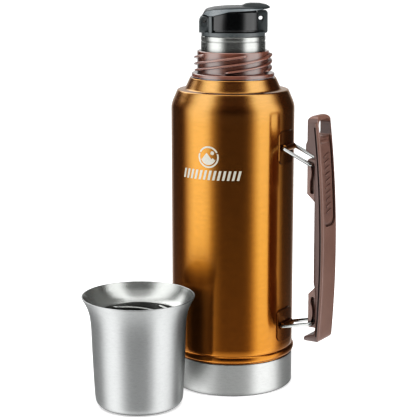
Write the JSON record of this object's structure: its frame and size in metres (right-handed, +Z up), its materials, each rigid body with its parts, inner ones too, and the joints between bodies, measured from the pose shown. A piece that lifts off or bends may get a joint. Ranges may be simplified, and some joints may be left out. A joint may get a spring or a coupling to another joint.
{
  "type": "insulated growler",
  "caption": "Double-wall vacuum steel growler with a folding wire-bail handle, a screw-in stopper with a flip lid, and a flared steel cup that screws on as its cover.",
  "frame": {"origin": "centre of the flask's base ring, on the surface it stands on", "axes": "+Z up along the flask's axis; +X from the axis towards the carrying handle"},
  "size_m": [0.1645, 0.19, 0.3133],
  "materials": {
    "body_paint": "satin copper metallic coat",
    "brushed_steel": "lathe brushed",
    "bright_steel": "bright drawn",
    "brown_plastic": "satin moulded",
    "dark_rubber": "matte silicone",
    "polished_wire": "polished",
    "black_plastic": "satin moulded",
    "gloss_black": "gloss moulded",
    "foam": "closed-cell foam"
  },
  "bodies": {
    "flask": {"outer_shell": "body_paint", "base_cup": "brushed_steel", "vacuum_plug": "brushed_steel", "getter_puck": "bright_steel", "inner_flask": "bright_steel", "thread_collar": "brown_plastic", "collar_gasket": "dark_rubber", "upper_bracket": "body_paint", "lower_bracket": "body_paint"},
    "grip": {"grip_body": "brown_plastic", "grip_back": "brown_plastic", "grip_insert": "brown_plastic", "grip_screws": "bright_steel"},
    "upper_wire": {"upper_bail": "polished_wire"},
    "lower_wire": {"lower_bail": "polished_wire"},
    "stopper_seal": {"stopper_gasket": "dark_rubber"},
    "stopper": {"stopper_plug": "black_plastic", "stopper_frame": "black_plastic", "stopper_top": "gloss_black", "stopper_core": "foam", "spout_tube": "black_plastic", "lid_pin": "bright_steel"},
    "flip_lid": {"lid": "black_plastic", "lid_seal": "dark_rubber"},
    "cup": {"cup_outer": "brushed_steel", "cup_inner": "bright_steel", "cup_thread": "bright_steel", "cup_base_disc": "brushed_steel"}
  },
  "joints": [
    {"name": "grip_fold", "type": "slide", "parent": "flask", "child": "grip", "axis": [-1, 0, 0], "range_m": [0, 0.012]},
    {"name": "upper_bail_swing", "type": "hinge", "parent": "flask", "child": "upper_wire", "pos_m": [0.052, 0, 0.201], "axis": [0, 1, 0], "range_deg": [0, 40]},
    {"name": "lower_bail_swing", "type": "hinge", "parent": "flask", "child": "lower_wire", "pos_m": [0.052, 0, 0.055], "axis": [0, -1, 0], "range_deg": [0, 46]},
    {"name": "stopper_rise", "type": "slide", "parent": "flask", "child": "stopper_seal", "axis": [0, 0, 1], "range_m": [0, 0.032]},
    {"name": "stopper_turn", "type": "hinge", "parent": "stopper_seal", "child": "stopper", "pos_m": [0, 0, 0.2872], "axis": [0, 0, 1], "range_deg": [0, 1440.5]},
    {"name": "lid_flip", "type": "hinge", "parent": "stopper", "child": "flip_lid", "pos_m": [-0.01951, -0.01219, 0.299], "axis": [0.5299, -0.848, 0], "range_deg": [0, 100]},
    {"name": "cup_lift", "type": "slide", "parent": "flask", "child": "cup", "axis": [0, 0, 1], "range_m": [0, 0.12]}
  ],
  "couplings": [
    {"joint": "upper_bail_swing", "follows": "grip_fold", "rad_per_m": 54.659},
    {"joint": "lower_bail_swing", "follows": "grip_fold", "rad_per_m": 63.175},
    {"joint": "stopper_turn", "follows": "stopper_rise", "rad_per_m": 785.4}
  ]
}
